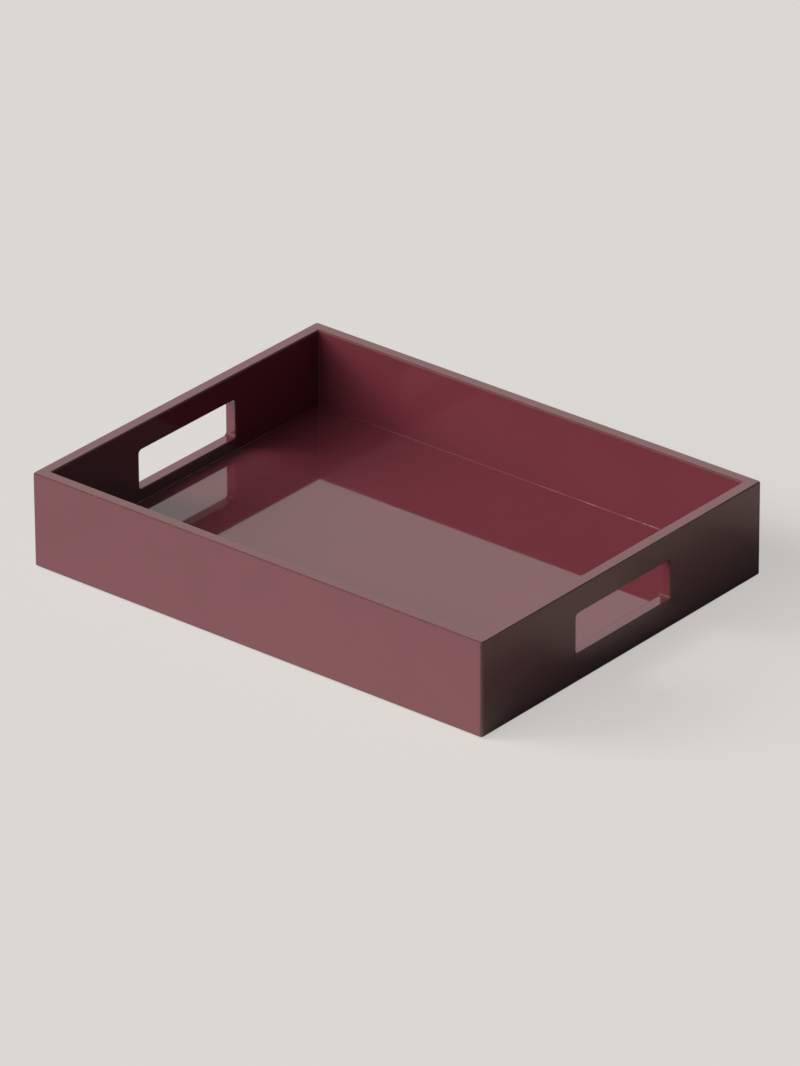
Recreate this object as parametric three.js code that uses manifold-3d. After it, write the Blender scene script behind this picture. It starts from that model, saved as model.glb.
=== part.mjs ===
// A lacquered serving tray. Four walls are mitred and splined at the corners,
// a base board is let into a groove that runs round their inner faces, a hand
// hole is routed through each end wall, and four rubber feet are stuck below.
//
// Millimetres, +Z up, +X along the length, and -Y at the front long side.
// The origin is on the surface that the feet stand on, under the middle.

import * as THREE from 'three';
import { mergeVertices } from 'three/addons/utils/BufferGeometryUtils.js';
import Module from 'manifold-3d';

const wasm = await Module();
wasm.setup();

// The four walls, as they stand when glued up
const LENGTH = 400;
const WIDTH = 307;
const WALL_HEIGHT = 72;
const WALL_THICKNESS = 9.5;

// Rounding, sanded after the glue has set
const OUTER_CORNER_RADIUS = 2;
const INNER_CORNER_RADIUS = 0.8;
const WALL_EDGE_RADIUS = 1.4;

// Mitred corners, and the spline that is glued into a slot across each
const MITRE_GLUE_GAP = 0.3;
const SPLINE_THICKNESS = 2;
const SPLINE_WIDTH = 7;
const SPLINE_END_RADIUS = 3;
const SPLINE_SETBACK = 5.5;
const SPLINE_COVER = 10;
const SPLINE_CLEARANCE = 0.15;

// Base board, whose tongue sits in the groove of the walls
const FLOOR_HEIGHT = 12;
const BASE_THICKNESS = 9;
const BASE_CLEARANCE = 0.2;
const TONGUE_DROP = 3;
const TONGUE_THICKNESS = 4;
const GROOVE_DEPTH = 4;
const GROOVE_CLEARANCE = 0.2;

// Hand hole in the middle of each end wall
const HANDLE_LENGTH = 104;
const HANDLE_HEIGHT = 30.5;
const HANDLE_SILL = 21.5;
const HANDLE_CORNER_RADIUS = 3;
const HANDLE_EDGE_RADIUS = 1;

// Rubber feet, stuck under the base board at its corners
const FOOT_DIAMETER = 12.7;
const FOOT_TREAD_DIAMETER = 9;
const FOOT_PROUD = 1.5;
const FOOT_INSET = 12;
const FOOT_EDGE_RADIUS = 0.8;

// Fineness of the round stretches, and how far a cutter passes a face
const CORNER_STEPS = 6;
const EDGE_STEPS = 5;
const FOOT_STEPS = 40;
const CUT_MARGIN = 5;
const SHARPEST_CORNER = 0.05;

// Sizes that follow from the ones above
const HALF_LENGTH = LENGTH / 2;
const HALF_WIDTH = WIDTH / 2;
const INNER_HALF_LENGTH = HALF_LENGTH - WALL_THICKNESS;
const INNER_HALF_WIDTH = HALF_WIDTH - WALL_THICKNESS;
const BASE_UNDERSIDE = FLOOR_HEIGHT - BASE_THICKNESS;
const TONGUE_TOP = FLOOR_HEIGHT - TONGUE_DROP;
const TONGUE_BOTTOM = TONGUE_TOP - TONGUE_THICKNESS;

// Finishes
const lacquer = new THREE.MeshStandardMaterial({ color: 0x6b2c38, roughness: 0.12, metalness: 0 });
const bareWood = new THREE.MeshStandardMaterial({ color: 0xc8a67a, roughness: 0.8, metalness: 0 });
const rubber = new THREE.MeshStandardMaterial({ color: 0x2a2625, roughness: 0.7, metalness: 0 });

// One closed loop of a loft: a rectangle with round corners, at height z.
function roundedRectangle(halfX, halfY, cornerRadius, z) {
  const radius = Math.max(cornerRadius, SHARPEST_CORNER);
  const points = [];
  const corners = [[1, 1], [-1, 1], [-1, -1], [1, -1]];
  corners.forEach(([signX, signY], quarter) => {
    for (let step = 0; step <= CORNER_STEPS; step += 1) {
      const angle = (Math.PI / 2) * (quarter + step / CORNER_STEPS);
      const x = signX * (halfX - radius) + radius * Math.cos(angle);
      const y = signY * (halfY - radius) + radius * Math.sin(angle);
      points.push([x, y, z]);
    }
  });
  return points;
}

// A closed skin over loops of equal length, given from the lowest to the highest.
function loft(loops) {
  const count = loops[0].length;
  const positions = loops.flat(2);
  const triangles = [];
  for (let level = 0; level < loops.length - 1; level += 1) {
    for (let index = 0; index < count; index += 1) {
      const a = level * count + index;
      const b = level * count + ((index + 1) % count);
      triangles.push(a, b, b + count, a, b + count, a + count);
    }
  }
  const top = (loops.length - 1) * count;
  for (let index = 1; index < count - 1; index += 1) {
    triangles.push(0, index + 1, index);
    triangles.push(top, top + index, top + index + 1);
  }
  const geometry = new THREE.BufferGeometry();
  geometry.setAttribute('position', new THREE.Float32BufferAttribute(positions, 3));
  geometry.setIndex(triangles);
  return geometry;
}

// Points on a quarter-round edge, from the face inwards: depth below the face,
// and the distance to the side that the round has cut away there.
function quarterRound(radius) {
  const points = [];
  for (let step = 0; step <= EDGE_STEPS; step += 1) {
    const angle = (Math.PI / 2) * (1 - step / EDGE_STEPS);
    const depth = radius * (1 - Math.sin(angle));
    const side = radius * (1 - Math.cos(angle));
    points.push({ depth, side });
  }
  return points;
}

// A slab from z = 0 up to its thickness, with its edges rounded outside.
function roundedSlab(halfX, halfY, cornerRadius, thickness, edgeRadius) {
  const edge = quarterRound(edgeRadius);
  const loopAt = ({ depth, side }, z) =>
    roundedRectangle(halfX - side, halfY - side, cornerRadius - side, z(depth));
  const lower = edge.map((point) => loopAt(point, (depth) => depth));
  const upper = edge.map((point) => loopAt(point, (depth) => thickness - depth)).reverse();
  return loft([...lower, ...upper]);
}

// The cutter for an opening through a board from z = 0 up to its thickness:
// it flares at both faces, so that the edges it leaves are rounded.
function openingCutter(halfX, halfY, cornerRadius, thickness, edgeRadius) {
  const edge = quarterRound(edgeRadius);
  const loopAt = (side, z) =>
    roundedRectangle(halfX + side, halfY + side, cornerRadius + side, z);
  const below = loopAt(edgeRadius, -CUT_MARGIN);
  const lower = edge.map(({ depth, side }) => loopAt(side, depth));
  const upper = edge.map(({ depth, side }) => loopAt(side, thickness - depth)).reverse();
  const above = loopAt(edgeRadius, thickness + CUT_MARGIN);
  return loft([below, ...lower, ...upper, above]);
}

// A plain prism with round corners, between two heights.
function prism(halfX, halfY, cornerRadius, bottom, top) {
  const lower = roundedRectangle(halfX, halfY, cornerRadius, bottom);
  const upper = roundedRectangle(halfX, halfY, cornerRadius, top);
  return loft([lower, upper]);
}

// A closed geometry as a solid that can be joined and cut.
function solid(geometry) {
  const bare = geometry.clone();
  bare.deleteAttribute('normal');
  bare.deleteAttribute('uv');
  const merged = mergeVertices(bare);
  return new wasm.Manifold(new wasm.Mesh({
    numProp: 3,
    vertProperties: merged.attributes.position.array,
    triVerts: Uint32Array.from(merged.index.array),
  }));
}

// A finished solid as a named mesh of the tray.
function pieceFromSolid(name, finished, material) {
  const { vertProperties, triVerts } = finished.getMesh();
  const geometry = new THREE.BufferGeometry();
  geometry.setAttribute('position', new THREE.BufferAttribute(vertProperties, 3));
  geometry.setIndex(new THREE.BufferAttribute(triVerts, 1));
  geometry.computeVertexNormals();
  const mesh = new THREE.Mesh(geometry, material);
  mesh.name = name;
  return mesh;
}

// The corners of the tray, seen from above: the sign of x and y, and a name.
const CORNERS = [
  { name: 'front_left', signX: -1, signY: -1 },
  { name: 'front_right', signX: 1, signY: -1 },
  { name: 'back_right', signX: 1, signY: 1 },
  { name: 'back_left', signX: -1, signY: 1 },
];

// The hand hole's cutter, laid along X, with its sill and centre in place.
function handleCutter(outerFaceX) {
  const cutter = openingCutter(
    HANDLE_HEIGHT / 2,
    HANDLE_LENGTH / 2,
    HANDLE_CORNER_RADIUS,
    WALL_THICKNESS,
    HANDLE_EDGE_RADIUS,
  );
  cutter.rotateY(Math.PI / 2);
  cutter.translate(outerFaceX, 0, HANDLE_SILL + HANDLE_HEIGHT / 2);
  return solid(cutter);
}

// A spline's flat shape, larger all round by a clearance, as it stands on edge
// across the mitre: its width crosses the joint and its length runs upwards.
function splineGeometry(corner, clearance) {
  const halfWidth = SPLINE_WIDTH / 2 + clearance;
  const bottom = FLOOR_HEIGHT + SPLINE_COVER - clearance;
  const top = WALL_HEIGHT - SPLINE_COVER + clearance;
  const radius = SPLINE_END_RADIUS + clearance;
  const thickness = SPLINE_THICKNESS + 2 * clearance;
  const halfLength = (top - bottom) / 2;
  const flat = prism(halfWidth, halfLength, radius, -thickness / 2, thickness / 2);
  flat.rotateX(Math.PI / 2);
  flat.rotateZ((corner.signX * corner.signY * -Math.PI) / 4);
  flat.translate(
    corner.signX * (HALF_LENGTH - SPLINE_SETBACK),
    corner.signY * (HALF_WIDTH - SPLINE_SETBACK),
    bottom + halfLength,
  );
  return flat;
}

// All four walls in one ring, with every groove, hole and slot already cut.
function wallRing() {
  const outside = solid(roundedSlab(
    HALF_LENGTH,
    HALF_WIDTH,
    OUTER_CORNER_RADIUS,
    WALL_HEIGHT,
    WALL_EDGE_RADIUS,
  ));
  const inside = solid(openingCutter(
    INNER_HALF_LENGTH,
    INNER_HALF_WIDTH,
    INNER_CORNER_RADIUS,
    WALL_HEIGHT,
    WALL_EDGE_RADIUS,
  ));
  const groove = solid(prism(
    INNER_HALF_LENGTH + GROOVE_DEPTH,
    INNER_HALF_WIDTH + GROOVE_DEPTH,
    INNER_CORNER_RADIUS,
    TONGUE_BOTTOM,
    TONGUE_TOP,
  ));
  let ring = outside.subtract(inside).subtract(groove);
  ring = ring.subtract(handleCutter(-HALF_LENGTH));
  ring = ring.subtract(handleCutter(INNER_HALF_LENGTH));
  for (const corner of CORNERS) {
    ring = ring.subtract(solid(splineGeometry(corner, SPLINE_CLEARANCE)));
  }
  return ring;
}

// The space that one wall keeps after its ends are sawn at 45 degrees. It is
// drawn for the side at -Y, and turned about Z for the others.
function mitreSpace(halfAlong, halfAcross, turn) {
  const glue = MITRE_GLUE_GAP / Math.SQRT2;
  const outerEnd = halfAlong + CUT_MARGIN - glue;
  const reach = WALL_THICKNESS + CUT_MARGIN;
  const innerEnd = halfAlong - reach - glue;
  const outline = new THREE.Shape();
  outline.moveTo(-outerEnd, -halfAcross - CUT_MARGIN);
  outline.lineTo(outerEnd, -halfAcross - CUT_MARGIN);
  outline.lineTo(innerEnd, -halfAcross + reach);
  outline.lineTo(-innerEnd, -halfAcross + reach);
  outline.closePath();
  const height = WALL_HEIGHT + 2 * CUT_MARGIN;
  const space = new THREE.ExtrudeGeometry(outline, { depth: height, bevelEnabled: false });
  space.translate(0, 0, -CUT_MARGIN);
  space.rotateZ(turn);
  return solid(space);
}

// The four walls, sawn from the ring.
function buildWalls() {
  const ring = wallRing();
  const sides = [
    { name: 'front_wall', along: HALF_LENGTH, across: HALF_WIDTH, turn: 0 },
    { name: 'right_end_wall', along: HALF_WIDTH, across: HALF_LENGTH, turn: Math.PI / 2 },
    { name: 'back_wall', along: HALF_LENGTH, across: HALF_WIDTH, turn: Math.PI },
    { name: 'left_end_wall', along: HALF_WIDTH, across: HALF_LENGTH, turn: -Math.PI / 2 },
  ];
  return sides.map(({ name, along, across, turn }) => {
    const wall = ring.intersect(mitreSpace(along, across, turn));
    return pieceFromSolid(name, wall, lacquer);
  });
}

// The base board: it fits between the walls, and its tongue fits their groove.
function buildBaseBoard() {
  const board = solid(prism(
    INNER_HALF_LENGTH - BASE_CLEARANCE,
    INNER_HALF_WIDTH - BASE_CLEARANCE,
    INNER_CORNER_RADIUS,
    BASE_UNDERSIDE,
    FLOOR_HEIGHT,
  ));
  const tongue = solid(prism(
    INNER_HALF_LENGTH + GROOVE_DEPTH - GROOVE_CLEARANCE,
    INNER_HALF_WIDTH + GROOVE_DEPTH - GROOVE_CLEARANCE,
    INNER_CORNER_RADIUS,
    TONGUE_BOTTOM + GROOVE_CLEARANCE,
    TONGUE_TOP - GROOVE_CLEARANCE,
  ));
  return pieceFromSolid('base_board', board.add(tongue), lacquer);
}

// A spline for each mitred corner, hidden once the corner is closed.
function buildSplines() {
  return CORNERS.map((corner) => {
    const spline = new THREE.Mesh(splineGeometry(corner, 0), bareWood);
    spline.name = `corner_spline_${corner.name}`;
    return spline;
  });
}

// The outline of a foot from its tread up to the face that is stuck on.
function footProfile(height) {
  const treadRadius = FOOT_TREAD_DIAMETER / 2;
  const profile = [new THREE.Vector2(0, 0)];
  for (let step = 0; step <= EDGE_STEPS; step += 1) {
    const angle = (Math.PI / 2) * (step / EDGE_STEPS);
    const radius = treadRadius - FOOT_EDGE_RADIUS * (1 - Math.sin(angle));
    const rise = FOOT_EDGE_RADIUS * (1 - Math.cos(angle));
    profile.push(new THREE.Vector2(radius, rise));
  }
  profile.push(new THREE.Vector2(FOOT_DIAMETER / 2, height - FOOT_EDGE_RADIUS));
  profile.push(new THREE.Vector2(FOOT_DIAMETER / 2, height));
  profile.push(new THREE.Vector2(0, height));
  return profile;
}

// The feet reach from the base board down past the walls.
function buildFeet() {
  const height = BASE_UNDERSIDE + FOOT_PROUD;
  const geometry = new THREE.LatheGeometry(footProfile(height), FOOT_STEPS);
  geometry.rotateX(Math.PI / 2);
  return CORNERS.map((corner) => {
    const foot = new THREE.Mesh(geometry, rubber);
    foot.name = `foot_${corner.name}`;
    foot.position.set(
      corner.signX * (INNER_HALF_LENGTH - FOOT_INSET),
      corner.signY * (INNER_HALF_WIDTH - FOOT_INSET),
      0,
    );
    return foot;
  });
}

// The glued and lacquered body is lifted off the surface by its feet.
const body = new THREE.Group();
body.position.z = FOOT_PROUD;
body.add(...buildWalls(), buildBaseBoard(), ...buildSplines());

const tray = new THREE.Group();
tray.add(body, ...buildFeet());

export default tray;
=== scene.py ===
"""Shape and finish of a lacquered serving tray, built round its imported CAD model.

The four mitred walls are modelled as one glued-up ring, which is then cut at the mitres, so that
the lacquer runs over the corners without a break. The base board, with the bead of lacquer that
closes its joint, and the four rubber feet are modelled too. The corner splines stay as the CAD
made them and get bare wood.
"""

import logging
import math
from collections.abc import Callable, Iterator
from contextlib import contextmanager
from dataclasses import dataclass
from enum import Enum

import bmesh
import bpy
from mathutils import Matrix, Vector


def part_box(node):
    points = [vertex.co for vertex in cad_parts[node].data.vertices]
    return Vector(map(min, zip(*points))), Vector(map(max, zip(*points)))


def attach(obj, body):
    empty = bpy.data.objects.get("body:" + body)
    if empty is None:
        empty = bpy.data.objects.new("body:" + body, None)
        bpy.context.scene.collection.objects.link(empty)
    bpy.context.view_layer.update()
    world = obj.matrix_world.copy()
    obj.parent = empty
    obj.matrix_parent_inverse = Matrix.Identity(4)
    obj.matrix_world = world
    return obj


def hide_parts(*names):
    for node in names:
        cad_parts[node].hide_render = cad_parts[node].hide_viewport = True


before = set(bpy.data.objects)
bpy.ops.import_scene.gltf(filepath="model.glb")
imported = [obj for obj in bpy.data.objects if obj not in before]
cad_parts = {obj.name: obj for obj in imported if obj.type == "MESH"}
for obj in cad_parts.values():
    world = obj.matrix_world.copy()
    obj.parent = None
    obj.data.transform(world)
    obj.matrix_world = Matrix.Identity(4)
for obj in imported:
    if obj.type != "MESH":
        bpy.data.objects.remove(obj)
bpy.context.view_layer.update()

log = logging.getLogger("lacquer_tray")

ROOT = "root"
HAIR = 1e-5
WELD = HAIR / 10
SOFTEST_SHARP_EDGE = math.radians(35)
SQUARE = math.cos(math.radians(0.05))
ALMOST_SQUARE = math.cos(math.radians(20))
SAME_WAY = 0.999
MOSTLY = 0.9
BARELY = 0.1
STEEP = 100
QUARTER_TURN_STEPS = 6


class Element(Enum):
    """What a selection in edit mode is made of."""

    VERT = "VERT"
    EDGE = "EDGE"
    FACE = "FACE"


class Slot(Enum):
    """The record's material slots."""

    LACQUER = "lacquered_board"
    WOOD = "bare_wood"
    RUBBER = "foot_rubber"


class Mark(Enum):
    """The attributes that tell a finish where an edge is."""

    EDGE = "edge_share"
    SEAM = "seam_share"


class Wall(Enum):
    """The CAD node of each wall."""

    FRONT = "front_wall"
    BACK = "back_wall"
    LEFT_END = "left_end_wall"
    RIGHT_END = "right_end_wall"


class Corner(Enum):
    """The sides of the tray on which each corner lies, along X and Y."""

    FRONT_LEFT = (-1, -1)
    FRONT_RIGHT = (1, -1)
    BACK_RIGHT = (1, 1)
    BACK_LEFT = (-1, 1)

    @property
    def label(self) -> str:
        """The corner's name in the CAD nodes."""
        return self.name.lower()


class Workbench:
    """Modelling steps that the pieces share."""

    @staticmethod
    def take(*pieces: bpy.types.Object) -> None:
        """Selects these pieces and nothing else.

        Args:
            pieces: What to select; the first one becomes active.
        """
        if bpy.context.object is not None and bpy.context.object.mode != "OBJECT":
            bpy.ops.object.mode_set(mode="OBJECT")
        bpy.ops.object.select_all(action="DESELECT")
        for piece in pieces:
            piece.select_set(True)
        bpy.context.view_layer.objects.active = pieces[0]

    @staticmethod
    def settle(piece: bpy.types.Object, name: str) -> bpy.types.Object:
        """Names a new primitive and moves its place into its mesh.

        Args:
            piece: The new primitive.
            name: Its name.

        Returns:
            The same piece, with its object at the origin.
        """
        piece.name = piece.data.name = name
        Workbench.take(piece)
        bpy.ops.object.transform_apply(location=True, rotation=True, scale=True)
        return piece

    @staticmethod
    def block(name: str, low: Vector, high: Vector) -> bpy.types.Object:
        """Adds a cuboid.

        Args:
            name: Its name.
            low: Its lowest corner.
            high: Its highest corner.

        Returns:
            The new piece.
        """
        bpy.ops.mesh.primitive_cube_add(size=1, location=(low + high) / 2, scale=high - low)
        return Workbench.settle(bpy.context.object, name)

    @staticmethod
    @contextmanager
    def editing(piece: bpy.types.Object) -> Iterator[None]:
        """Opens a piece in edit mode with nothing selected.

        Args:
            piece: The piece to shape.

        Yields:
            Nothing.
        """
        Workbench.take(piece)
        bpy.ops.object.mode_set(mode="EDIT")
        bpy.ops.mesh.select_all(action="DESELECT")
        yield
        bpy.ops.object.mode_set(mode="OBJECT")

    @staticmethod
    def pick(piece: bpy.types.Object, kind: Element, test: Callable[..., bool]) -> int:
        """Selects the parts of an open mesh that pass a test.

        Args:
            piece: The piece that is open in edit mode.
            kind: What to select.
            test: Says whether a vertex, edge or face is taken.

        Returns:
            How many were taken.
        """
        bpy.ops.mesh.select_mode(type=kind.value)
        bpy.ops.mesh.select_all(action="DESELECT")
        mesh = bmesh.from_edit_mesh(piece.data)
        parts = {Element.VERT: mesh.verts, Element.EDGE: mesh.edges, Element.FACE: mesh.faces}[kind]
        taken = [part for part in parts if test(part)]
        for part in taken:
            part.select_set(True)
        mesh.select_flush_mode()
        bmesh.update_edit_mesh(piece.data)
        return len(taken)

    @staticmethod
    def round_off(radius: float, steps: int = QUARTER_TURN_STEPS) -> None:
        """Rounds the selected edges.

        Args:
            radius: The radius of a right-angled edge.
            steps: The facets across it.
        """
        bpy.ops.mesh.bevel(offset_type="OFFSET", offset=radius, segments=steps, profile=0.5,
                           affect="EDGES", clamp_overlap=False, loop_slide=True)

    @staticmethod
    def round_uprights(piece: bpy.types.Object, radius: float) -> None:
        """Rounds the upright edges of a cuboid.

        Args:
            piece: The cuboid.
            radius: The radius in plan.
        """
        with Workbench.editing(piece):
            Workbench.pick(piece, Element.EDGE, is_upright)
            Workbench.round_off(radius)

    @staticmethod
    def apply(piece: bpy.types.Object, modifier: bpy.types.Modifier) -> None:
        """Applies a modifier.

        Args:
            piece: The piece that has it.
            modifier: The modifier.
        """
        Workbench.take(piece)
        bpy.ops.object.modifier_apply(modifier=modifier.name)

    @staticmethod
    def smooth(piece: bpy.types.Object) -> None:
        """Shades the rounded edges smooth and keeps every flat face flat.

        Args:
            piece: The finished piece.
        """
        Workbench.take(piece)
        bpy.ops.object.shade_smooth_by_angle(angle=SOFTEST_SHARP_EDGE)
        even = piece.modifiers.new("even_normals", "WEIGHTED_NORMAL")
        even.mode = "FACE_AREA"
        even.keep_sharp = True
        Workbench.apply(piece, even)
        Workbench.level_flats(piece.data)

    @staticmethod
    def level_flats(mesh: bpy.types.Mesh) -> None:
        """Gives the faces that lie square to the axes exactly flat shading.

        Args:
            mesh: A mesh whose normals are smoothed.
        """
        flats: dict[int, list[Vector]] = {}
        for face in mesh.polygons:
            if max(abs(part) for part in face.normal) > SQUARE:
                for point in face.vertices:
                    flats.setdefault(point, []).append(face.normal.copy())
        shading = []
        for corner, normal in zip(mesh.loops, mesh.corner_normals):
            here = normal.vector.copy()
            for flat in flats.get(corner.vertex_index, []):
                if flat.dot(here) > ALMOST_SQUARE:
                    here = flat
            shading.append(here)
        mesh.normals_split_custom_set(shading)

    @staticmethod
    def discard(piece: bpy.types.Object) -> None:
        """Deletes a piece that only served to make others."""
        bpy.data.objects.remove(piece, do_unlink=True)


def is_upright(edge: bmesh.types.BMEdge) -> bool:
    """Says whether an edge runs along Z."""
    run = edge.verts[1].co - edge.verts[0].co
    return abs(run.z) > max(STEEP * abs(run.x), STEEP * abs(run.y), HAIR)


def lies_level(face: bmesh.types.BMFace) -> bool:
    """Says whether a face looks up or down."""
    return abs(face.normal.z) > MOSTLY


def looks_aside(face: bmesh.types.BMFace) -> bool:
    """Says whether a face stands upright."""
    return abs(face.normal.z) < BARELY


def near(value: float, *targets: float) -> bool:
    """Says whether a value is one of the targets, to within a hair."""
    return any(abs(value - target) < HAIR for target in targets)


class Sketch:
    """A node tree that is written one line per node."""

    def __init__(self, tree: bpy.types.NodeTree) -> None:
        """Starts on a tree.

        Args:
            tree: The tree of a material, a world or a group.
        """
        self.tree = tree

    def node(self, kind: str, inputs: dict[str | int, object] | None = None,
             **settings: object) -> bpy.types.Node:
        """Adds a node.

        Args:
            kind: The node's type, without ShaderNode in front.
            inputs: A value, or a socket to link from, for each input by name or number.
            settings: The node's own settings.

        Returns:
            The new node.
        """
        made = self.tree.nodes.new(kind if kind.startswith("Node") else f"ShaderNode{kind}")
        for key, value in settings.items():
            setattr(made, key, value)
        for key, value in (inputs or {}).items():
            if isinstance(value, bpy.types.NodeSocket):
                self.tree.links.new(value, made.inputs[key])
            else:
                made.inputs[key].default_value = value
        return made

    def value(self, operation: str, *terms: object, clamp: bool = False) -> bpy.types.NodeSocket:
        """Adds a Math node.

        Args:
            operation: What it does.
            terms: Its numbers or sockets.
            clamp: Whether the result is kept between 0 and 1.

        Returns:
            The socket with the result.
        """
        made = self.node("Math", dict(enumerate(terms)), operation=operation, use_clamp=clamp)
        return made.outputs[0]

    def between(self, value: object, low: float, high: float, to_low: float = 0,
                to_high: float = 1, smooth: bool = True) -> bpy.types.NodeSocket:
        """Adds a Map Range node.

        Args:
            value: The number or socket to map.
            low: The value that gives to_low.
            high: The value that gives to_high.
            to_low: The result at low.
            to_high: The result at high.
            smooth: Whether it eases in and out.

        Returns:
            The socket with the result.
        """
        made = self.node(
            "MapRange",
            {"Value": value, "From Min": low, "From Max": high, "To Min": to_low, "To Max": to_high},
            interpolation_type="SMOOTHSTEP" if smooth else "LINEAR", clamp=True)
        return made.outputs["Result"]

    def noise(self, place: object, scale: float, detail: float = 2,
              roughness: float = 0.5) -> bpy.types.NodeSocket:
        """Adds a Noise Texture.

        Args:
            place: The socket with the coordinates.
            scale: How many features there are to a metre.
            detail: How many finer layers are added.
            roughness: How strong those are.

        Returns:
            The socket with the noise, about 0.5 on average.
        """
        made = self.node("TexNoise", {"Vector": place, "Scale": scale, "Detail": detail,
                                      "Roughness": roughness})
        return made.outputs[0]

    def blend(self, share: object, first: object, second: object,
              kind: str = "MIX") -> bpy.types.NodeSocket:
        """Mixes two colours.

        Args:
            share: How much of the second one there is.
            first: A colour or socket.
            second: A colour or socket.
            kind: The way of mixing.

        Returns:
            The socket with the mixed colour.
        """
        made = self.node("Mix", {0: share, 6: first, 7: second}, data_type="RGBA", blend_type=kind)
        return made.outputs[2]

    def place(self) -> bpy.types.NodeSocket:
        """The piece's own coordinates, in metres."""
        return self.node("TexCoord").outputs["Object"]


class Effect:
    """A shader node group that more than one finish uses."""

    def __init__(self, name: str, inputs: dict[str, float], outputs: tuple[str, ...],
                 draw: Callable[[Sketch, dict[str, bpy.types.NodeSocket]], dict[str, object]]) -> None:
        """Makes the group.

        Args:
            name: The group's name.
            inputs: Its inputs, with their usual values.
            outputs: Its outputs, all plain values.
            draw: Adds the nodes, and gives the socket for each output.
        """
        self.group = bpy.data.node_groups.new(name, "ShaderNodeTree")
        for label, usual in inputs.items():
            socket = self.group.interface.new_socket(label, in_out="INPUT",
                                                     socket_type="NodeSocketFloat")
            socket.default_value = usual
        for label in outputs:
            self.group.interface.new_socket(label, in_out="OUTPUT", socket_type="NodeSocketFloat")
        sketch = Sketch(self.group)
        entry = sketch.node("NodeGroupInput")
        results = draw(sketch, {label: entry.outputs[label] for label in inputs})
        sketch.node("NodeGroupOutput", results)

    def use(self, sketch: Sketch, **inputs: object) -> bpy.types.Node:
        """Places the group in a material.

        Args:
            sketch: The material's tree.
            inputs: The values that differ from the usual ones.

        Returns:
            The group node.
        """
        made = sketch.node("Group")
        made.node_tree = self.group
        for label, value in inputs.items():
            socket = made.inputs[label.replace("_", " ").capitalize()]
            if isinstance(value, bpy.types.NodeSocket):
                sketch.tree.links.new(value, socket)
            else:
                socket.default_value = value
        return made


def draw_drift(sketch: Sketch, given: dict[str, bpy.types.NodeSocket]) -> dict[str, object]:
    """Draws slow changes over a surface.

    Args:
        sketch: The group's tree.
        given: The group's inputs.

    Returns:
        The group's output.
    """
    place = sketch.place()
    wide = sketch.noise(place, given["Scale"], 3, 0.55)
    return {"Drift": sketch.between(wide, 0.3, 0.7)}


def draw_peel(sketch: Sketch, given: dict[str, bpy.types.NodeSocket]) -> dict[str, object]:
    """Draws the faint waves that a sprayed or moulded skin dries with.

    Args:
        sketch: The group's tree.
        given: The group's inputs.

    Returns:
        The group's output.
    """
    place = sketch.place()
    waves = sketch.noise(place, given["Scale"], 1, 0.4)
    swell = sketch.noise(place, sketch.value("MULTIPLY", given["Scale"], 0.13), 0, 0.5)
    return {"Height": sketch.value("ADD", waves, sketch.value("MULTIPLY", swell, given["Swell"]))}


def draw_edge_patches(sketch: Sketch, given: dict[str, bpy.types.NodeSocket]) -> dict[str, object]:
    """Draws the rounded edges in broken patches: dust on the feet, and on the lacquer a painted dark
    line and a rougher skin.

    Args:
        sketch: The group's tree.
        given: The group's inputs.

    Returns:
        The group's output.
    """
    edge = sketch.node("Attribute", attribute_name=Mark.EDGE.value).outputs["Fac"]
    patches = sketch.between(sketch.noise(sketch.place(), given["Scale"], 4, 0.6), 0.35, 0.65)
    patched = sketch.value("MULTIPLY", edge, sketch.between(patches, 0, 1, 0.35, 1, smooth=False))
    return {"Rub": sketch.value("MULTIPLY", patched, given["Amount"], clamp=True)}


@dataclass(frozen=True)
class Effects:
    """The node groups that the finishes share."""

    drift: Effect
    peel: Effect
    rub: Effect

    @classmethod
    def make(cls) -> "Effects":
        """Makes every group once."""
        return cls(
            drift=Effect("slow_drift", {"Scale": 14.0}, ("Drift",), draw_drift),
            peel=Effect("skin_waves", {"Scale": 300.0, "Swell": 1.0}, ("Height",), draw_peel),
            rub=Effect("patchy_edges", {"Scale": 120.0, "Amount": 1.0}, ("Rub",), draw_edge_patches))


Colour = tuple[float, float, float, float]


def start_material(name: str) -> tuple[bpy.types.Material, Sketch, bpy.types.Node]:
    """Starts a node material.

    Args:
        name: Its name.

    Returns:
        The material, its tree and its Principled BSDF.
    """
    material = bpy.data.materials.new(name)
    material.use_nodes = True
    sketch = Sketch(material.node_tree)
    return material, sketch, material.node_tree.nodes["Principled BSDF"]


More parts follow.
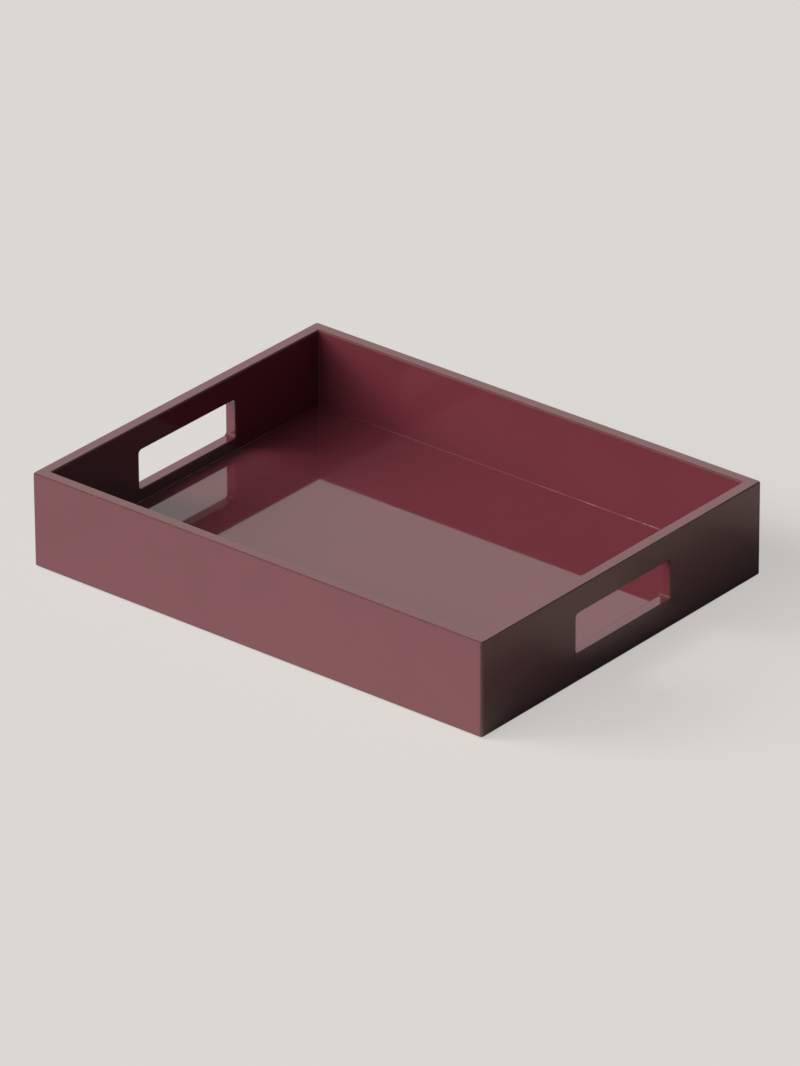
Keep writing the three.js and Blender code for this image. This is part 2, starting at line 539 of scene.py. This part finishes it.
@dataclass(frozen=True)
class GlossLacquer:
    """Sprayed and polished burgundy lacquer on fine fibreboard."""

    effects: Effects
    colour: Colour = (0.147, 0.0284, 0.0394, 1)
    deep_colour: Colour = (0.140, 0.0268, 0.0372, 1)
    # Painted dark line: the rounded edges take this darker brown in broken patches.
    edge_colour: Colour = (0.072, 0.029, 0.028, 1)
    # Painted highlight: the pale line along the bead where the floor meets the walls.
    seam_colour: Colour = (0.27, 0.165, 0.165, 1)
    roughness: float = 0.035
    hazy_roughness: float = 0.06
    rubbed_roughness: float = 0.12
    seam_roughness: float = 0.35
    refraction: float = 1.6
    coat: float = 0.55
    coat_roughness: float = 0.02
    wave_depth: float = 2e-6
    seam_run: tuple[float, float, float] = (2.6, -5.6, 0)
    seam_starts: float = -0.85
    seam_ends: float = -0.6
    seam_least: float = 0.08
    seam_lengths: float = 38
    seam_breaks: float = 230

    def make(self) -> bpy.types.Material:
        """Makes the material.

        Returns:
            The lacquer, for every board of the tray.
        """
        material, sketch, shader = start_material("burgundy_lacquer")
        drift = self.effects.drift.use(sketch, scale=14).outputs["Drift"]
        haze = self.effects.drift.use(sketch, scale=31).outputs["Drift"]
        rub = self.effects.rub.use(sketch, scale=110, amount=0.95).outputs["Rub"]
        waves = self.effects.peel.use(sketch, scale=420, swell=2.5).outputs["Height"]
        # Painted highlight in broken lengths along the floor's bead, fading out round the back left
        # corner.
        seam_highlight = self.draw_seam_highlight(sketch)
        pigment = sketch.blend(drift, self.deep_colour, self.colour)
        # Paints a dark line along the rounded edges, in broken patches.
        patched = sketch.blend(rub, pigment, self.edge_colour)
        skin = sketch.value(
            "ADD", sketch.between(haze, 0, 1, self.roughness, self.hazy_roughness),
            sketch.value("MULTIPLY", rub, self.rubbed_roughness - self.hazy_roughness))
        shader_in = {
            "Base Color": sketch.blend(seam_highlight, patched, self.seam_colour),
            "Roughness": sketch.value("ADD", skin, sketch.value(
                "MULTIPLY", seam_highlight, self.seam_roughness - self.hazy_roughness)),
            "Normal": sketch.node("Bump", {"Height": waves, "Distance": self.wave_depth,
                                           "Strength": 1.0}).outputs[0],
        }
        for label, source in shader_in.items():
            sketch.tree.links.new(source, shader.inputs[label])
        shader.inputs["IOR"].default_value = self.refraction
        shader.inputs["Coat Weight"].default_value = self.coat
        shader.inputs["Coat Roughness"].default_value = self.coat_roughness
        return material

    def draw_seam_highlight(self, sketch: Sketch) -> bpy.types.NodeSocket:
        """Draws a painted highlight, a pale line in the corner between the floor and the walls.

        Args:
            sketch: The material's tree.

        Returns:
            The socket with its share, in uneven broken lengths and almost none round the back
            left corner.
        """
        bead = sketch.node("Attribute", attribute_name=Mark.SEAM.value).outputs["Fac"]
        run = sketch.node("VectorMath", {0: sketch.place(), 1: self.seam_run}, operation="DOT_PRODUCT")
        # Fades the painted highlight out towards the back left corner.
        highlight_reach = sketch.between(run.outputs["Value"], self.seam_starts, self.seam_ends,
                                   self.seam_least)
        lengths = sketch.between(sketch.noise(sketch.place(), self.seam_lengths, 1), 0.36, 0.6, 0.15)
        breaks = sketch.between(sketch.noise(sketch.place(), self.seam_breaks, 3, 0.7), 0.38, 0.62)
        broken = sketch.value("MULTIPLY", sketch.value("MULTIPLY", lengths, breaks), highlight_reach)
        return sketch.value("MULTIPLY", bead, broken, clamp=True)


@dataclass(frozen=True)
class BareWood:
    """Unfinished close-grained wood, glued in."""

    effects: Effects
    pale: Colour = (0.60, 0.42, 0.24, 1)
    dark: Colour = (0.42, 0.26, 0.13, 1)

    def make(self) -> bpy.types.Material:
        """Makes the material.

        Returns:
            The wood, with its grain upright.
        """
        material, sketch, shader = start_material("bare_wood")
        stretched = sketch.node("Mapping", {"Vector": sketch.place(), "Scale": (1, 1, 0.06)})
        fibres = sketch.noise(stretched.outputs[0], 1400, 4, 0.6)
        years = sketch.noise(stretched.outputs[0], 260, 1, 0.5)
        grain = sketch.between(sketch.value("ADD", sketch.value("MULTIPLY", fibres, 0.5),
                                            sketch.value("MULTIPLY", years, 0.5)), 0.36, 0.64)
        links = {
            "Base Color": sketch.blend(grain, self.dark, self.pale),
            "Roughness": sketch.between(grain, 0, 1, 0.78, 0.62),
            "Normal": sketch.node("Bump", {"Height": fibres, "Distance": 5e-5,
                                           "Strength": 0.6}).outputs[0],
        }
        for label, source in links.items():
            sketch.tree.links.new(source, shader.inputs[label])
        shader.inputs["Specular IOR Level"].default_value = 0.3
        return material


@dataclass(frozen=True)
class FootRubber:
    """Matt moulded rubber."""

    effects: Effects
    colour: Colour = (0.024, 0.021, 0.019, 1)
    dusty: Colour = (0.052, 0.047, 0.043, 1)

    def make(self) -> bpy.types.Material:
        """Makes the material.

        Returns:
            The rubber of the feet.
        """
        material, sketch, shader = start_material("foot_rubber")
        drift = self.effects.drift.use(sketch, scale=260).outputs["Drift"]
        rub = self.effects.rub.use(sketch, scale=700, amount=0.8).outputs["Rub"]
        skin = self.effects.peel.use(sketch, scale=4200, swell=0.5).outputs["Height"]
        share = sketch.value("ADD", sketch.value("MULTIPLY", drift, 0.35), rub, clamp=True)
        links = {
            "Base Color": sketch.blend(share, self.colour, self.dusty),
            "Roughness": sketch.between(share, 0, 1, 0.62, 0.8),
            "Normal": sketch.node("Bump", {"Height": skin, "Distance": 4e-5,
                                           "Strength": 0.7}).outputs[0],
        }
        for label, source in links.items():
            sketch.tree.links.new(source, shader.inputs[label])
        return material


def hand_over(piece: bpy.types.Object, material: bpy.types.Material, slot: Slot, *nodes: str) -> None:
    """Gives a modelled piece its finish and its place in the frame.

    Args:
        piece: The finished piece.
        material: Its finish.
        slot: Not used.
        nodes: The CAD nodes that it stands for.
    """
    piece.data.materials.clear()
    piece.data.materials.append(material)
    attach(piece, ROOT)
    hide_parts(*nodes)
    log.info("%s: %d faces, stands for %s", piece.name, len(piece.data.polygons), ", ".join(nodes))


def mark_edges(piece: bpy.types.Object, mark: Mark = Mark.EDGE) -> None:
    """Stores how much each point belongs to a rounded edge, 1 in its middle and 0 on a flat face.

    Args:
        piece: The piece, with its last normals.
        mark: What the finish takes the edge for.
    """
    mesh = piece.data
    share = mesh.attributes.new(mark.value, "FLOAT", "POINT")
    lean = [0.0] * len(mesh.vertices)
    for corner, normal in zip(mesh.loops, mesh.corner_normals):
        _, second, first = sorted(abs(part) for part in normal.vector)
        lean[corner.vertex_index] = max(lean[corner.vertex_index], min(1.0, 2 * first * second))
    for face in mesh.polygons:
        if max(abs(part) for part in face.normal) > SQUARE:
            for point in face.vertices:
                lean[point] = 0.0
    share.data.foreach_set("value", lean)


@dataclass
class WallRing:
    """The four walls, glued up, rounded and lacquered in one."""

    low: Vector
    high: Vector
    thickness: float = 0.0095
    outer_corner: float = 0.002
    inner_corner: float = 0.0008
    edge: float = 0.0014
    low_edge: float = 0.0009
    groove_depth: float = 0.004
    groove_low: float = 0.0050
    groove_high: float = 0.0090
    hole_half_length: float = 0.052
    hole_low: float = 0.0215
    hole_height: float = 0.0305
    hole_corner: float = 0.003
    hole_edge: float = 0.001
    hole_edge_steps: int = 5
    overshoot: float = 0.01

    @classmethod
    def from_frame(cls) -> "WallRing":
        """Takes the outer sizes from the CAD walls."""
        left_low, left_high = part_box(Wall.LEFT_END.value)
        _, right_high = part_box(Wall.RIGHT_END.value)
        front_low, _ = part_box(Wall.FRONT.value)
        _, back_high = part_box(Wall.BACK.value)
        return cls(low=Vector((left_low.x, front_low.y, left_low.z)),
                   high=Vector((right_high.x, back_high.y, left_high.z)))

    @property
    def inner_half(self) -> Vector:
        """Half of the free length and width between the walls."""
        return Vector((self.high.x - self.thickness, self.high.y - self.thickness))

    def tube(self, name: str, half_x: float, half_y: float, radius: float) -> bpy.types.Object:
        """Makes an open-ended upright tube with rounded corners.

        Args:
            name: Its name.
            half_x: Half of its length.
            half_y: Half of its width.
            radius: The radius of its corners.

        Returns:
            The tube, as high as the walls.
        """
        tube = Workbench.block(name, Vector((-half_x, -half_y, self.low.z)),
                               Vector((half_x, half_y, self.high.z)))
        Workbench.round_uprights(tube, radius)
        with Workbench.editing(tube):
            Workbench.pick(tube, Element.FACE, lies_level)
            bpy.ops.mesh.delete(type="ONLY_FACE")
        return tube

    def build(self) -> bpy.types.Object:
        """Models the whole ring.

        Returns:
            The ring, from which the walls are cut.
        """
        ring = self.tube("wall_ring", self.high.x, self.high.y, self.outer_corner)
        inside = self.tube("inside", self.inner_half.x, self.inner_half.y, self.inner_corner)
        with Workbench.editing(inside):
            bpy.ops.mesh.select_all(action="SELECT")
            bpy.ops.mesh.flip_normals()
        Workbench.take(ring, inside)
        bpy.ops.object.join()
        with Workbench.editing(ring):
            for level in (self.low.z, self.high.z):
                Workbench.pick(ring, Element.EDGE,
                               lambda edge: all(near(vert.co.z, level) for vert in edge.verts))
                bpy.ops.mesh.bridge_edge_loops()
            bpy.ops.mesh.select_all(action="SELECT")
            bpy.ops.mesh.normals_make_consistent(inside=False)
        self.round_rims(ring)
        self.plough_groove(ring)
        self.cut_hand_holes(ring)
        Workbench.smooth(ring)
        return ring

    def round_rims(self, ring: bpy.types.Object) -> None:
        """Rounds the edges along the top and the underside of the walls.

        Args:
            ring: The ring so far.
        """
        def is_rim(edge: bmesh.types.BMEdge, level: float) -> bool:
            """Says whether an edge at this level lies between a level face and an upright one."""
            flat = [lies_level(face) for face in edge.link_faces]
            return (all(near(vert.co.z, level) for vert in edge.verts)
                    and len(flat) == 2 and flat[0] != flat[1])

        with Workbench.editing(ring):
            for level, radius in ((self.low.z, self.low_edge), (self.high.z, self.edge)):
                Workbench.pick(ring, Element.EDGE, lambda edge: is_rim(edge, level))
                Workbench.round_off(radius)

    def plough_groove(self, ring: bpy.types.Object) -> None:
        """Cuts the groove for the base board into the inner faces.

        Args:
            ring: The ring so far.
        """
        reach = self.inner_half + Vector((HAIR, HAIR))
        levels = [self.low.z + self.groove_low, self.low.z + self.groove_high]

        def faces_in(face: bmesh.types.BMFace) -> bool:
            """Says whether a face is upright and bounds the inside of the tray."""
            return looks_aside(face) and all(
                abs(vert.co.x) < reach.x and abs(vert.co.y) < reach.y for vert in face.verts)

        with Workbench.editing(ring):
            for level in levels:
                Workbench.pick(ring, Element.FACE, faces_in)
                bpy.ops.mesh.bisect(plane_co=(0, 0, level), plane_no=(0, 0, 1), threshold=WELD)
            Workbench.pick(ring, Element.FACE, lambda face: faces_in(face) and all(
                levels[0] - HAIR < vert.co.z < levels[1] + HAIR for vert in face.verts))
            bpy.ops.mesh.inset(thickness=0, depth=-self.groove_depth, use_even_offset=True)

    def cut_hand_holes(self, ring: bpy.types.Object) -> None:
        """Cuts the hand hole through both end walls and eases its edges.

        Args:
            ring: The ring so far.
        """
        sill = self.low.z + self.hole_low
        lintel = sill + self.hole_height
        cutter = Workbench.block("hand_hole_cutter",
                                 Vector((self.low.x - self.overshoot, -self.hole_half_length, sill)),
                                 Vector((self.high.x + self.overshoot, self.hole_half_length, lintel)))
        with Workbench.editing(cutter):
            Workbench.pick(cutter, Element.EDGE, lambda edge: abs(
                edge.verts[1].co.x - edge.verts[0].co.x) > self.high.x)
            Workbench.round_off(self.hole_corner)
        holes = ring.modifiers.new("hand_holes", "BOOLEAN")
        holes.operation = "DIFFERENCE"
        holes.solver = "EXACT"
        holes.object = cutter
        Workbench.apply(ring, holes)
        Workbench.discard(cutter)

        def is_lip(edge: bmesh.types.BMEdge) -> bool:
            """Says whether an edge runs round the mouth of a hole."""
            along = [abs(face.normal.x) > MOSTLY for face in edge.link_faces]
            return (len(along) == 2 and along[0] != along[1] and all(
                abs(vert.co.y) < self.hole_half_length + HAIR and
                sill - HAIR < vert.co.z < lintel + HAIR for vert in edge.verts))

        with Workbench.editing(ring):
            Workbench.pick(ring, Element.EDGE, is_lip)
            Workbench.round_off(self.hole_edge, self.hole_edge_steps)

    def mitre(self, corner: Corner) -> tuple[Vector, Vector]:
        """Gives the plane of a corner's mitre.

        Args:
            corner: The corner.

        Returns:
            A point on the plane, and its normal towards the long wall.
        """
        side_x, side_y = corner.value
        point = Vector((side_x * self.high.x, side_y * self.high.y, 0))
        return point, Vector((-side_x, side_y, 0)).normalized()

    def cut_wall(self, ring: bpy.types.Object, wall: Wall) -> bpy.types.Object:
        """Cuts one wall out of the ring, with the ring's own shading up to the cut.

        Args:
            ring: The finished ring.
            wall: The wall to make.

        Returns:
            The wall, closed at both mitres.
        """
        piece = ring.copy()
        piece.data = ring.data.copy()
        piece.name = piece.data.name = f"{wall.value}_lacquered"
        bpy.context.scene.collection.objects.link(piece)
        is_long = wall in (Wall.FRONT, Wall.BACK)
        side = 1 if wall in (Wall.BACK, Wall.RIGHT_END) else -1
        ends = [corner for corner in Corner if corner.value[1 if is_long else 0] == side]
        with Workbench.editing(piece):
            for corner in ends:
                point, normal = self.mitre(corner)
                bpy.ops.mesh.select_all(action="SELECT")
                bpy.ops.mesh.bisect(plane_co=point, plane_no=normal, use_fill=True,
                                    clear_inner=is_long, clear_outer=not is_long,
                                    threshold=WELD)
        shading = piece.modifiers.new("ring_shading", "DATA_TRANSFER")
        shading.object = ring
        shading.use_loop_data = True
        shading.data_types_loops = {"CUSTOM_NORMAL"}
        shading.loop_mapping = "NEAREST_POLYNOR"
        Workbench.apply(piece, shading)
        self.flatten_cuts(piece, [self.mitre(corner)[1] for corner in ends])
        return piece

    def flatten_cuts(self, piece: bpy.types.Object, normals: list[Vector]) -> None:
        """Shades the two cut faces flat.

        Args:
            piece: A wall.
            normals: The normals of its mitres.
        """
        mesh = piece.data
        shading = [normal.vector.copy() for normal in mesh.corner_normals]
        for face in mesh.polygons:
            if any(abs(face.normal.dot(normal)) > SAME_WAY for normal in normals):
                for corner in face.loop_indices:
                    shading[corner] = face.normal.copy()
        mesh.normals_split_custom_set(shading)

    def dress(self, lacquer: bpy.types.Material) -> None:
        """Builds the four walls and gives them their finish.

        Args:
            lacquer: The finish.
        """
        ring = self.build()
        mark_edges(ring)
        for wall in Wall:
            hand_over(self.cut_wall(ring, wall), lacquer, Slot.LACQUER, wall.value)
        Workbench.discard(ring)


@dataclass
class BaseBoard:
    """The tray's floor, with its tongue and the bead of lacquer round its top."""

    low: Vector
    high: Vector
    half_x: float
    half_y: float
    corner: float
    bead: float = 0.0007
    bead_lip: float = 0.0001
    tongue_drop: float = 0.0032
    tongue_thickness: float = 0.0036
    margin: float = 0.002

    @classmethod
    def from_frame(cls, ring: WallRing) -> "BaseBoard":
        """Takes the outline from the walls and the heights from the CAD board.

        Args:
            ring: The walls.
        """
        low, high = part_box("base_board")
        return cls(low=low, high=high, half_x=ring.inner_half.x, half_y=ring.inner_half.y,
                   corner=ring.inner_corner)

    def build(self) -> bpy.types.Object:
        """Models the board.

        Returns:
            The board, closed against the walls.
        """
        top = self.high.z + self.bead
        board = Workbench.block("base_board_lacquered", Vector((-self.half_x, -self.half_y, self.low.z)),
                                Vector((self.half_x, self.half_y, top)))
        Workbench.round_uprights(board, self.corner)
        tongue_top = self.high.z - self.tongue_drop
        levels = (tongue_top - self.tongue_thickness, tongue_top)
        with Workbench.editing(board):
            for level in levels:
                Workbench.pick(board, Element.FACE, looks_aside)
                bpy.ops.mesh.bisect(plane_co=(0, 0, level), plane_no=(0, 0, 1), threshold=WELD)
            Workbench.pick(board, Element.FACE, lambda face: looks_aside(face) and all(
                levels[0] - HAIR < vert.co.z < levels[1] + HAIR for vert in face.verts))
            bpy.ops.mesh.inset(thickness=0, depth=self.high.x - self.half_x, use_even_offset=True)
            Workbench.pick(board, Element.FACE, lambda face: face.normal.z > MOSTLY and all(
                near(vert.co.z, top) for vert in face.verts))
            bpy.ops.mesh.inset(thickness=self.bead_lip, depth=0, use_even_offset=True)
            bpy.ops.mesh.extrude_region_move(
                TRANSFORM_OT_translate={"value": (0, 0, -self.bead)})
            Workbench.pick(board, Element.EDGE, lambda edge: all(
                near(vert.co.z, self.high.z) for vert in edge.verts))
            Workbench.round_off(self.bead - self.bead_lip)
            self.mark_off_middle(board)
        Workbench.smooth(board)
        return board

    def mark_off_middle(self, board: bpy.types.Object) -> None:
        """Divides the floor into a plain middle and a margin, so that the middle shades dead flat.

        Args:
            board: The board, open in edit mode.
        """
        across = Vector((self.half_x - self.margin, 0, 0))
        along = Vector((0, self.half_y - self.margin, 0))
        for line in (across, -across, along, -along):
            Workbench.pick(board, Element.FACE, lambda face: face.normal.z > SQUARE and all(
                near(vert.co.z, self.high.z) for vert in face.verts))
            bpy.ops.mesh.bisect(plane_co=line, plane_no=line.normalized(), threshold=WELD)

    def dress(self, lacquer: bpy.types.Material) -> None:
        """Builds the board and gives it its finish.

        Args:
            lacquer: The finish.
        """
        board = self.build()
        mark_edges(board, Mark.SEAM)
        hand_over(board, lacquer, Slot.LACQUER, "base_board")


@dataclass
class RubberFoot:
    """A small stuck-on foot, wider where it sticks, with a dished tread."""

    radius: float = 0.00635
    tread_radius: float = 0.0045
    collar: float = 0.0008
    collar_edge: float = 0.0002
    collar_steps: int = 3
    edge: float = 0.0008
    edge_steps: int = 5
    dish_rim: float = 0.0014
    dish_depth: float = 0.0003
    facets: int = 48

    def build(self, name: str, low: Vector, high: Vector) -> bpy.types.Object:
        """Models a foot where its CAD node is.

        Args:
            name: The piece's name.
            low: The lowest corner of the CAD foot.
            high: Its highest corner.

        Returns:
            The foot.
        """
        centre = (low + high) / 2
        bpy.ops.mesh.primitive_cylinder_add(vertices=self.facets, radius=self.radius,
                                            depth=high.z - low.z, location=centre)
        foot = Workbench.settle(bpy.context.object, name)
        with Workbench.editing(foot):
            Workbench.pick(foot, Element.FACE, looks_aside)
            bpy.ops.mesh.bisect(plane_co=(0, 0, high.z - self.collar), plane_no=(0, 0, 1),
                                threshold=WELD)
            Workbench.pick(foot, Element.FACE, lambda face: face.normal.z < -MOSTLY)
            shrink = self.tread_radius / self.radius
            bpy.ops.transform.resize(value=(shrink, shrink, 1), center_override=centre)
            bpy.ops.mesh.inset(thickness=self.dish_rim, depth=0)
            bpy.ops.mesh.inset(thickness=self.dish_depth, depth=-self.dish_depth)
            Workbench.pick(foot, Element.EDGE, lambda edge: all(
                near(vert.co.z, low.z) and (vert.co.xy - centre.xy).length > self.tread_radius - HAIR
                for vert in edge.verts))
            Workbench.round_off(self.edge, self.edge_steps)
            Workbench.pick(foot, Element.EDGE, lambda edge: all(
                near(vert.co.z, high.z - self.collar) for vert in edge.verts))
            Workbench.round_off(self.collar_edge, self.collar_steps)
        Workbench.smooth(foot)
        return foot

    def dress(self, rubber: bpy.types.Material) -> None:
        """Builds the four feet and gives them their finish.

        Args:
            rubber: The finish.
        """
        for corner in Corner:
            node = f"foot_{corner.label}"
            foot = self.build(f"{node}_moulded", *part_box(node))
            mark_edges(foot)
            hand_over(foot, rubber, Slot.RUBBER, node)


@dataclass
class CornerSplines:
    """The loose tongues in the mitres, which stay as the CAD made them."""

    name: str = "corner_spline"

    def dress(self, wood: bpy.types.Material) -> None:
        """Gives the splines their finish.

        Args:
            wood: The finish.
        """
        for corner in Corner:
            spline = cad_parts[f"{self.name}_{corner.label}"]
            spline.data.materials.clear()
            spline.data.materials.append(wood)
            log.info("%s: CAD solid in bare wood", spline.name)


@dataclass(frozen=True)
class SoftLight:
    """One part of the wide soft light, so far away that it falls evenly. Angles are in degrees."""

    name: str
    heading: float
    height: float
    share: float
    spread: float = 30

    def hang(self) -> None:
        """Makes the lamp. All shares together light a level surface to its written colour."""
        lamp = bpy.data.lights.new(self.name, "SUN")
        heading, height = math.radians(self.heading), math.radians(self.height)
        lamp.energy = self.share * math.pi / math.sin(height)
        lamp.angle = math.radians(self.spread)
        light = bpy.data.objects.new(self.name, lamp)
        towards = Vector((-math.cos(heading) * math.cos(height),
                          -math.sin(heading) * math.cos(height), math.sin(height)))
        light.rotation_euler = towards.to_track_quat("Z", "Y").to_euler()
        light.visible_glossy = False
        bpy.context.scene.collection.objects.link(light)


@dataclass
class Studio:
    """A pale table and wall, a dark ceiling, and soft light from the left round to the front.

    The table throws less light back onto the tray than a plain one does, as a sweep of cloth or
    card would, and part of its tone in the picture is its own, which thins the shadow. Three
    things are dimmer in the lacquer than in the open: the wall on the far side of the tray, what
    is mirrored twice, because the first mirror image is polarised, and the table beside the
    right end wall, where a darker, warmer colour is painted on as shade for the lacquer to
    mirror.
    """

    lights: tuple[SoftLight, ...] = (
        SoftLight("light_from_left", 26, 22, 0.24),
        SoftLight("light_beside_left", 38, 32, 0.38),
        SoftLight("light_beside_front", 58, 37, 0.14),
        SoftLight("light_from_front", 80, 42, 0.24))
    backdrop: Colour = (0.708, 0.679, 0.651, 1)
    table_size: float = 80
    seen_share: float = 0.75
    bounce: float = 0.4
    beside_starts: float = 0.19
    beside_ends: float = 0.24
    # Painted shade on the table beside the right end wall, seen only in the lacquer.
    painted_beside_shade: Colour = (0.535, 0.412, 0.358, 1)
    ceiling_starts: float = 0.57
    ceiling_ends: float = 0.80
    ceiling_share: float = 0.12
    far_side: tuple[float, float, float] = (0.64, 0.77, 0)
    far_starts: float = 0.3
    far_ends: float = 0.7
    far_share: float = 0.35
    twice_share: float = 0.45
    fill: float = 0.02

    def build(self) -> None:
        """Makes the table, the lights and the surroundings."""
        self.lay_table()
        for light in self.lights:
            light.hang()
        self.paint_surroundings()
        log.info("studio: table, %d soft lights and surroundings", len(self.lights))

    def lay_table(self) -> None:
        """Makes the pale table that the tray stands on."""
        Workbench.take(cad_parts["base_board"])
        bpy.ops.mesh.primitive_plane_add(size=self.table_size, location=(0, 0, 0))
        table = Workbench.settle(bpy.context.object, "table_top")
        material, sketch, shader = start_material("pale_table")
        ray = sketch.node("LightPath").outputs
        along = sketch.node("SeparateXYZ", {0: sketch.place()}).outputs["X"]
        # Painted shade: for glossy rays the table beside the right end wall takes a darker, warmer
        # colour.
        beside = sketch.between(along, self.beside_starts, self.beside_ends)
        mirrored = sketch.blend(sketch.value("MULTIPLY", ray["Is Glossy Ray"], beside),
                                self.backdrop, self.painted_beside_shade)
        tone = sketch.value("SUBTRACT", 1.0, sketch.value(
            "MULTIPLY", ray["Is Diffuse Ray"], 1 - self.bounce))
        own = sketch.value("MULTIPLY", ray["Is Camera Ray"], self.seen_share)
        lit = sketch.value("MULTIPLY", tone, sketch.value("SUBTRACT", 1.0, own))
        pale = sketch.node("VectorMath", {0: mirrored, 3: lit}, operation="SCALE")
        sketch.tree.links.new(pale.outputs[0], shader.inputs["Base Color"])
        shader.inputs["Roughness"].default_value = 1
        shader.inputs["Specular IOR Level"].default_value = 0
        shader.inputs["Emission Color"].default_value = self.backdrop
        sketch.tree.links.new(own, shader.inputs["Emission Strength"])
        table.data.materials.append(material)

    def paint_surroundings(self) -> None:
        """Makes the pale wall round the table, its mirror images and the little light it gives."""
        world = bpy.data.worlds.new("surroundings")
        bpy.context.scene.world = world
        world.use_nodes = True
        world.node_tree.nodes.clear()
        sketch = Sketch(world.node_tree)
        heading = sketch.node("TexCoord").outputs["Generated"]
        height = sketch.node("SeparateXYZ", {0: heading}).outputs["Z"]
        wall = sketch.between(height, self.ceiling_starts, self.ceiling_ends, 1, self.ceiling_share)
        ray = sketch.node("LightPath").outputs
        away = sketch.node("VectorMath", {0: heading, 1: self.far_side}, operation="DOT_PRODUCT")
        far = sketch.between(away.outputs["Value"], self.far_starts, self.far_ends)
        twice = sketch.between(ray["Glossy Depth"], 1, 2, smooth=False)
        near_tone = sketch.value("SUBTRACT", 1.0, sketch.value("MULTIPLY", twice, 1 - self.twice_share))
        dim = sketch.node("Mix", {0: far, 2: near_tone, 3: self.far_share}, data_type="FLOAT")
        gloss = sketch.node("Mix", {0: ray["Is Glossy Ray"], 2: 1.0, 3: dim.outputs[0]},
                            data_type="FLOAT")
        tone = sketch.value("MULTIPLY", wall, gloss.outputs[0])
        seen = sketch.node("Background", {"Color": self.backdrop, "Strength": tone})
        cast = sketch.node("Background", {"Color": (1, 1, 1, 1), "Strength": self.fill})
        shown = sketch.value("MAXIMUM", ray["Is Camera Ray"],
                             sketch.value("MAXIMUM", ray["Is Glossy Ray"],
                                          ray["Is Transmission Ray"]))
        mixed = sketch.node("MixShader", {0: shown, 1: cast.outputs[0], 2: seen.outputs[0]})
        sketch.node("OutputWorld", {"Surface": mixed.outputs[0]})


@dataclass
class PhotoCamera:
    """The camera of the photograph, from a fit to the tray's straight edges and its outline."""

    azimuth: float = math.radians(39.536)
    elevation: float = math.radians(27.275)
    roll: float = math.radians(-0.266)
    distance: float = 6.144759
    aside: float = 0.002342
    above: float = -0.001486
    aim_height: float = 0.0315
    focal_pixels: float = 8864.655
    frame_height: float = 1066
    sensor: float = 36

    def build(self) -> None:
        """Makes the camera and looks through it."""
        back = Vector((math.sin(self.azimuth) * math.cos(self.elevation),
                       -math.cos(self.azimuth) * math.cos(self.elevation),
                       math.sin(self.elevation)))
        level = Vector((0, 0, 1)).cross(back).normalized()
        upright = back.cross(level)
        right = math.cos(self.roll) * level + math.sin(self.roll) * upright
        up = back.cross(right)
        aim = Vector((0, 0, self.aim_height)) + self.aside * right + self.above * up
        data = bpy.data.cameras.new("photo_camera")
        data.lens = self.focal_pixels * self.sensor / self.frame_height
        data.sensor_width = self.sensor
        data.clip_start, data.clip_end = 0.1, 200
        camera = bpy.data.objects.new("photo_camera", data)
        turn = Matrix((right, up, back)).transposed().to_4x4()
        camera.matrix_world = Matrix.Translation(aim + self.distance * back) @ turn
        bpy.context.scene.collection.objects.link(camera)
        bpy.context.scene.camera = camera
        log.info("camera: %.1f mm lens", data.lens)


def main() -> None:
    """Builds the tray and its studio."""
    logging.basicConfig(level=logging.INFO, format="%(name)s: %(message)s")
    effects = Effects.make()
    PhotoCamera().build()
    walls = WallRing.from_frame()
    lacquer = GlossLacquer(effects).make()
    walls.dress(lacquer)
    BaseBoard.from_frame(walls).dress(lacquer)
    RubberFoot().dress(FootRubber(effects).make())
    CornerSplines().dress(BareWood(effects).make())
    Studio().build()
    bpy.context.scene.view_settings.view_transform = "Standard"


if __name__ == "__main__":
    main()
